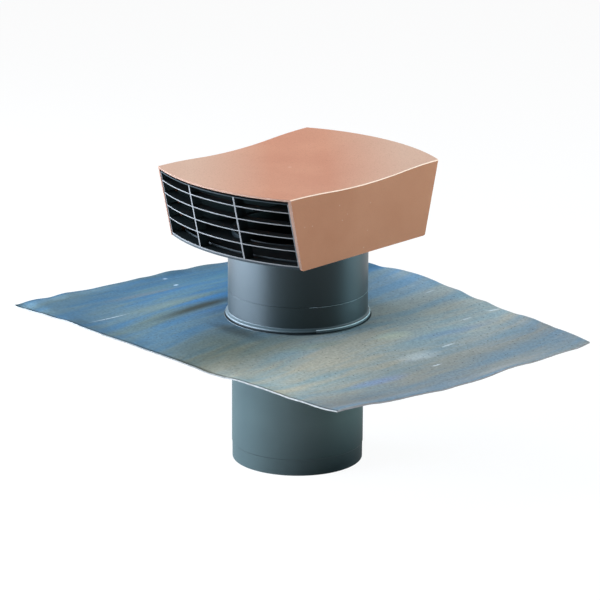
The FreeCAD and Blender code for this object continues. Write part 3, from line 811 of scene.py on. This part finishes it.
def build_flashing():
    """A fine flat sheet, laid on the solid, dressed up round the duct and given its thickness."""
    thickness = 1.6 * MM
    above = 250 * MM
    crown = heights("storm_collar")[0] - 0.1 * MM
    crown_reach = 88 * MM
    slope_from = 92 * MM
    inside_edge = 0.995
    upstand = 76.8 * MM
    spare = 10 * MM

    # A grid with squares of about 2.5 mm falls on the solid from above
    start_piece()
    bpy.ops.mesh.primitive_grid_add(x_subdivisions=218, y_subdivisions=156, size=1)
    flashing = bpy.context.object
    flashing.name = "flashing"
    bpy.ops.object.mode_set(mode="EDIT")
    bpy.ops.transform.resize(value=(SHEET_LENGTH, SHEET_WIDTH, 1), center_override=(0, 0, 0))
    bpy.ops.transform.rotate(value=-SHEET_TURN, orient_axis="Z", center_override=(0, 0, 0))
    bpy.ops.transform.translate(value=(0, 0, above))
    apply_modifier(flashing, "SHRINKWRAP", target=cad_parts["lead_flashing"],
                   wrap_method="PROJECT", use_project_z=True, use_negative_direction=True,
                   use_positive_direction=False)

    # Its slopes are smoothed, its crown under the collar is made level and its edges are bent
    select_vertices(flashing, lambda place: reach(place) > slope_from
                    and max(map(abs, on_sheet(place))) < inside_edge)
    bpy.ops.mesh.vertices_smooth(factor=0.5, repeat=40, xaxis=False, yaxis=False)
    select_vertices(flashing, lambda place: reach(place) < crown_reach)
    bpy.ops.transform.resize(value=(1, 1, 0), center_override=(0, 0, crown))
    bpy.ops.object.mode_set(mode="OBJECT")
    bend_edges(flashing)

    # It gets its thickness, its cut edges, and the upstand with the hole for the duct
    cut, dull_cut = 1, 2
    finish_piece(flashing, [LEAD, LEAD_CUT, LEAD_DULL_CUT], "lead_sheet", "lead_flashing")
    apply_modifier(flashing, "SOLIDIFY", thickness=thickness, offset=-1, material_offset_rim=cut)
    paint_faces(flashing, lambda face: face.material_index == cut and face.normal.x > TURNED,
                dull_cut)
    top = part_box("lead_flashing")[1].z
    joined_with_bar(flashing, "UNION", upstand, crown - thickness / 2, top)
    joined_with_bar(flashing, "DIFFERENCE", upstand - thickness, crown - spare, top + spare)
    take_hold(flashing)
    bpy.ops.object.shade_smooth_by_angle(angle=math.radians(35))


build_cap()
build_grille("front_grille", "grille_front", -1)
build_grille("rear_grille", "grille_rear", 1)
build_floor()
build_sleeve()
build_collar()
build_duct()
build_flashing()


# The liners, dark sheets that stand in for the shade inside the hood, and the seal keep their
# solids and get a finish
def dress(node, material):
    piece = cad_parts[node]
    piece.data.materials.clear()
    piece.data.materials.append(material)


dress("left_liner", DARK_PAINTED_SHADE)
dress("right_liner", DARK_PAINTED_SHADE)
dress("collar_seal", RUBBER)


def looked_at(tree):
    """1 for what the camera sees, also in a mirror or through glass, and 0 for other light."""
    seen = add_node(tree, "ShaderNodeLightPath")
    mirrored = add_node(tree, "ShaderNodeMath", {0: seen.outputs["Is Camera Ray"],
                                                 1: seen.outputs["Is Glossy Ray"]},
                        operation="MAXIMUM")
    through = add_node(tree, "ShaderNodeMath", {0: mirrored.outputs[0],
                                                1: seen.outputs["Is Transmission Ray"]},
                       operation="MAXIMUM")
    return through.outputs[0]


# Floor, which is white to the camera but keeps a soft shadow, and can be seen through from below
def studio_floor():
    start_piece()
    bpy.ops.mesh.primitive_circle_add(vertices=96, radius=7, fill_type="NGON", location=(0, 0, 0))
    floor = bpy.context.object
    floor.name = "studio_floor"
    material = bpy.data.materials.new("White studio floor")
    material.use_nodes = True
    tree = material.node_tree
    tree.nodes.clear()
    paper = add_node(tree, "ShaderNodeBsdfDiffuse", {"Color": hex_colour("#F2F2F2")})
    glow = add_node(tree, "ShaderNodeEmission", {"Color": (1, 1, 1, 1), "Strength": 1.0})
    pure_white = 0.93
    share = add_node(tree, "ShaderNodeMath", {0: looked_at(tree), 1: pure_white},
                     operation="MULTIPLY")
    whitened = add_node(tree, "ShaderNodeMixShader", {0: share.outputs[0], 1: paper.outputs[0],
                                                      2: glow.outputs[0]})
    clear = add_node(tree, "ShaderNodeBsdfTransparent")
    behind = add_node(tree, "ShaderNodeNewGeometry")
    chosen = add_node(tree, "ShaderNodeMixShader", {0: behind.outputs["Backfacing"],
                                                    1: whitened.outputs[0], 2: clear.outputs[0]})
    output = add_node(tree, "ShaderNodeOutputMaterial")
    tree.links.new(chosen.outputs[0], output.inputs["Surface"])
    floor.data.materials.append(material)


studio_floor()


# Soft studio light
def studio_world():
    world = bpy.data.worlds.new("Studio")
    bpy.context.scene.world = world
    world.use_nodes = True
    tree = world.node_tree
    tree.nodes.clear()
    soft = add_node(tree, "ShaderNodeBackground", {"Color": hex_colour("#F4F6FA"),
                                                   "Strength": 0.28})
    white = add_node(tree, "ShaderNodeBackground", {"Color": (1, 1, 1, 1), "Strength": 1.0})
    mixed = add_node(tree, "ShaderNodeMixShader", {0: looked_at(tree), 1: soft.outputs[0],
                                                   2: white.outputs[0]})
    output = add_node(tree, "ShaderNodeOutputWorld")
    tree.links.new(mixed.outputs[0], output.inputs["Surface"])


# The place that the lamps look at, and the place of the low lamp at the left
MIDDLE = Vector((0, 0, 0.2))
LOW_LEFT = (-0.9, -0.855, 0.3)


def softbox(name, place, width, height, watts, tone="#FFFFFF"):
    """A rectangular lamp, in metres and watts, that the camera doesn't see."""
    bpy.ops.object.light_add(type="AREA", location=place)
    lamp = bpy.context.object
    lamp.name = name
    lamp.data.shape = "RECTANGLE"
    lamp.data.size = width
    lamp.data.size_y = height
    lamp.data.energy = watts
    lamp.data.color = hex_colour(tone)[:3]
    lamp.rotation_euler = (MIDDLE - Vector(place)).to_track_quat("-Z", "Y").to_euler()
    lamp.visible_camera = False
    return lamp


def weaken_on_hood(strong, weak):
    """Let the weaker of two like lamps light the hood, whose left wall faces them squarely."""
    hood = bpy.data.objects["cap"]
    hood_alone = bpy.data.collections.new("hood_alone")
    hood_alone.objects.link(hood)
    weak.light_linking.receiver_collection = hood_alone
    all_but_hood = bpy.data.collections.new("all_but_hood")
    all_but_hood.objects.link(hood)
    all_but_hood.collection_objects[0].light_linking.link_state = "EXCLUDE"
    strong.light_linking.receiver_collection = all_but_hood


start_piece()
studio_world()
softbox("overhead_softbox", (-0.5, -0.7, 2.3), width=1.6, height=1.6, watts=29.5)
low_left = softbox("left_softbox", LOW_LEFT, width=1.84, height=0.5, watts=158, tone="#D4E4F8")
low_left_weak = softbox("left_softbox_hood", LOW_LEFT, width=1.84, height=0.5, watts=42,
                        tone="#D4E4F8")
weaken_on_hood(low_left, low_left_weak)
softbox("right_softbox", (0.97, 1.16, 0.35), width=1.0, height=0.7, watts=33, tone="#BCECFA")
softbox("edge_softbox", (0.75, 1.8, 1.75), width=0.8, height=0.5, watts=6.5)


# Camera, as fitted to the photo: its place in metres, and how it is turned in degrees
CAMERA_PLACE = (2.9918, -3.1471, 1.5154)
AZIMUTH = 43.52
ELEVATION = 17.03
ROLL = 0.26

start_piece()
bpy.ops.object.camera_add()
camera = bpy.context.object
camera.data.sensor_width = 36
camera.data.lens = 240
camera.data.clip_end = 50
turn = Matrix.Rotation(math.radians(AZIMUTH), 4, "Z")
tip = Matrix.Rotation(math.radians(90 - ELEVATION), 4, "X")
roll = Matrix.Rotation(math.radians(ROLL), 4, "Z")
camera.matrix_world = Matrix.Translation(CAMERA_PLACE) @ turn @ tip @ roll
bpy.context.scene.camera = camera
bpy.context.scene.view_settings.view_transform = "Standard"
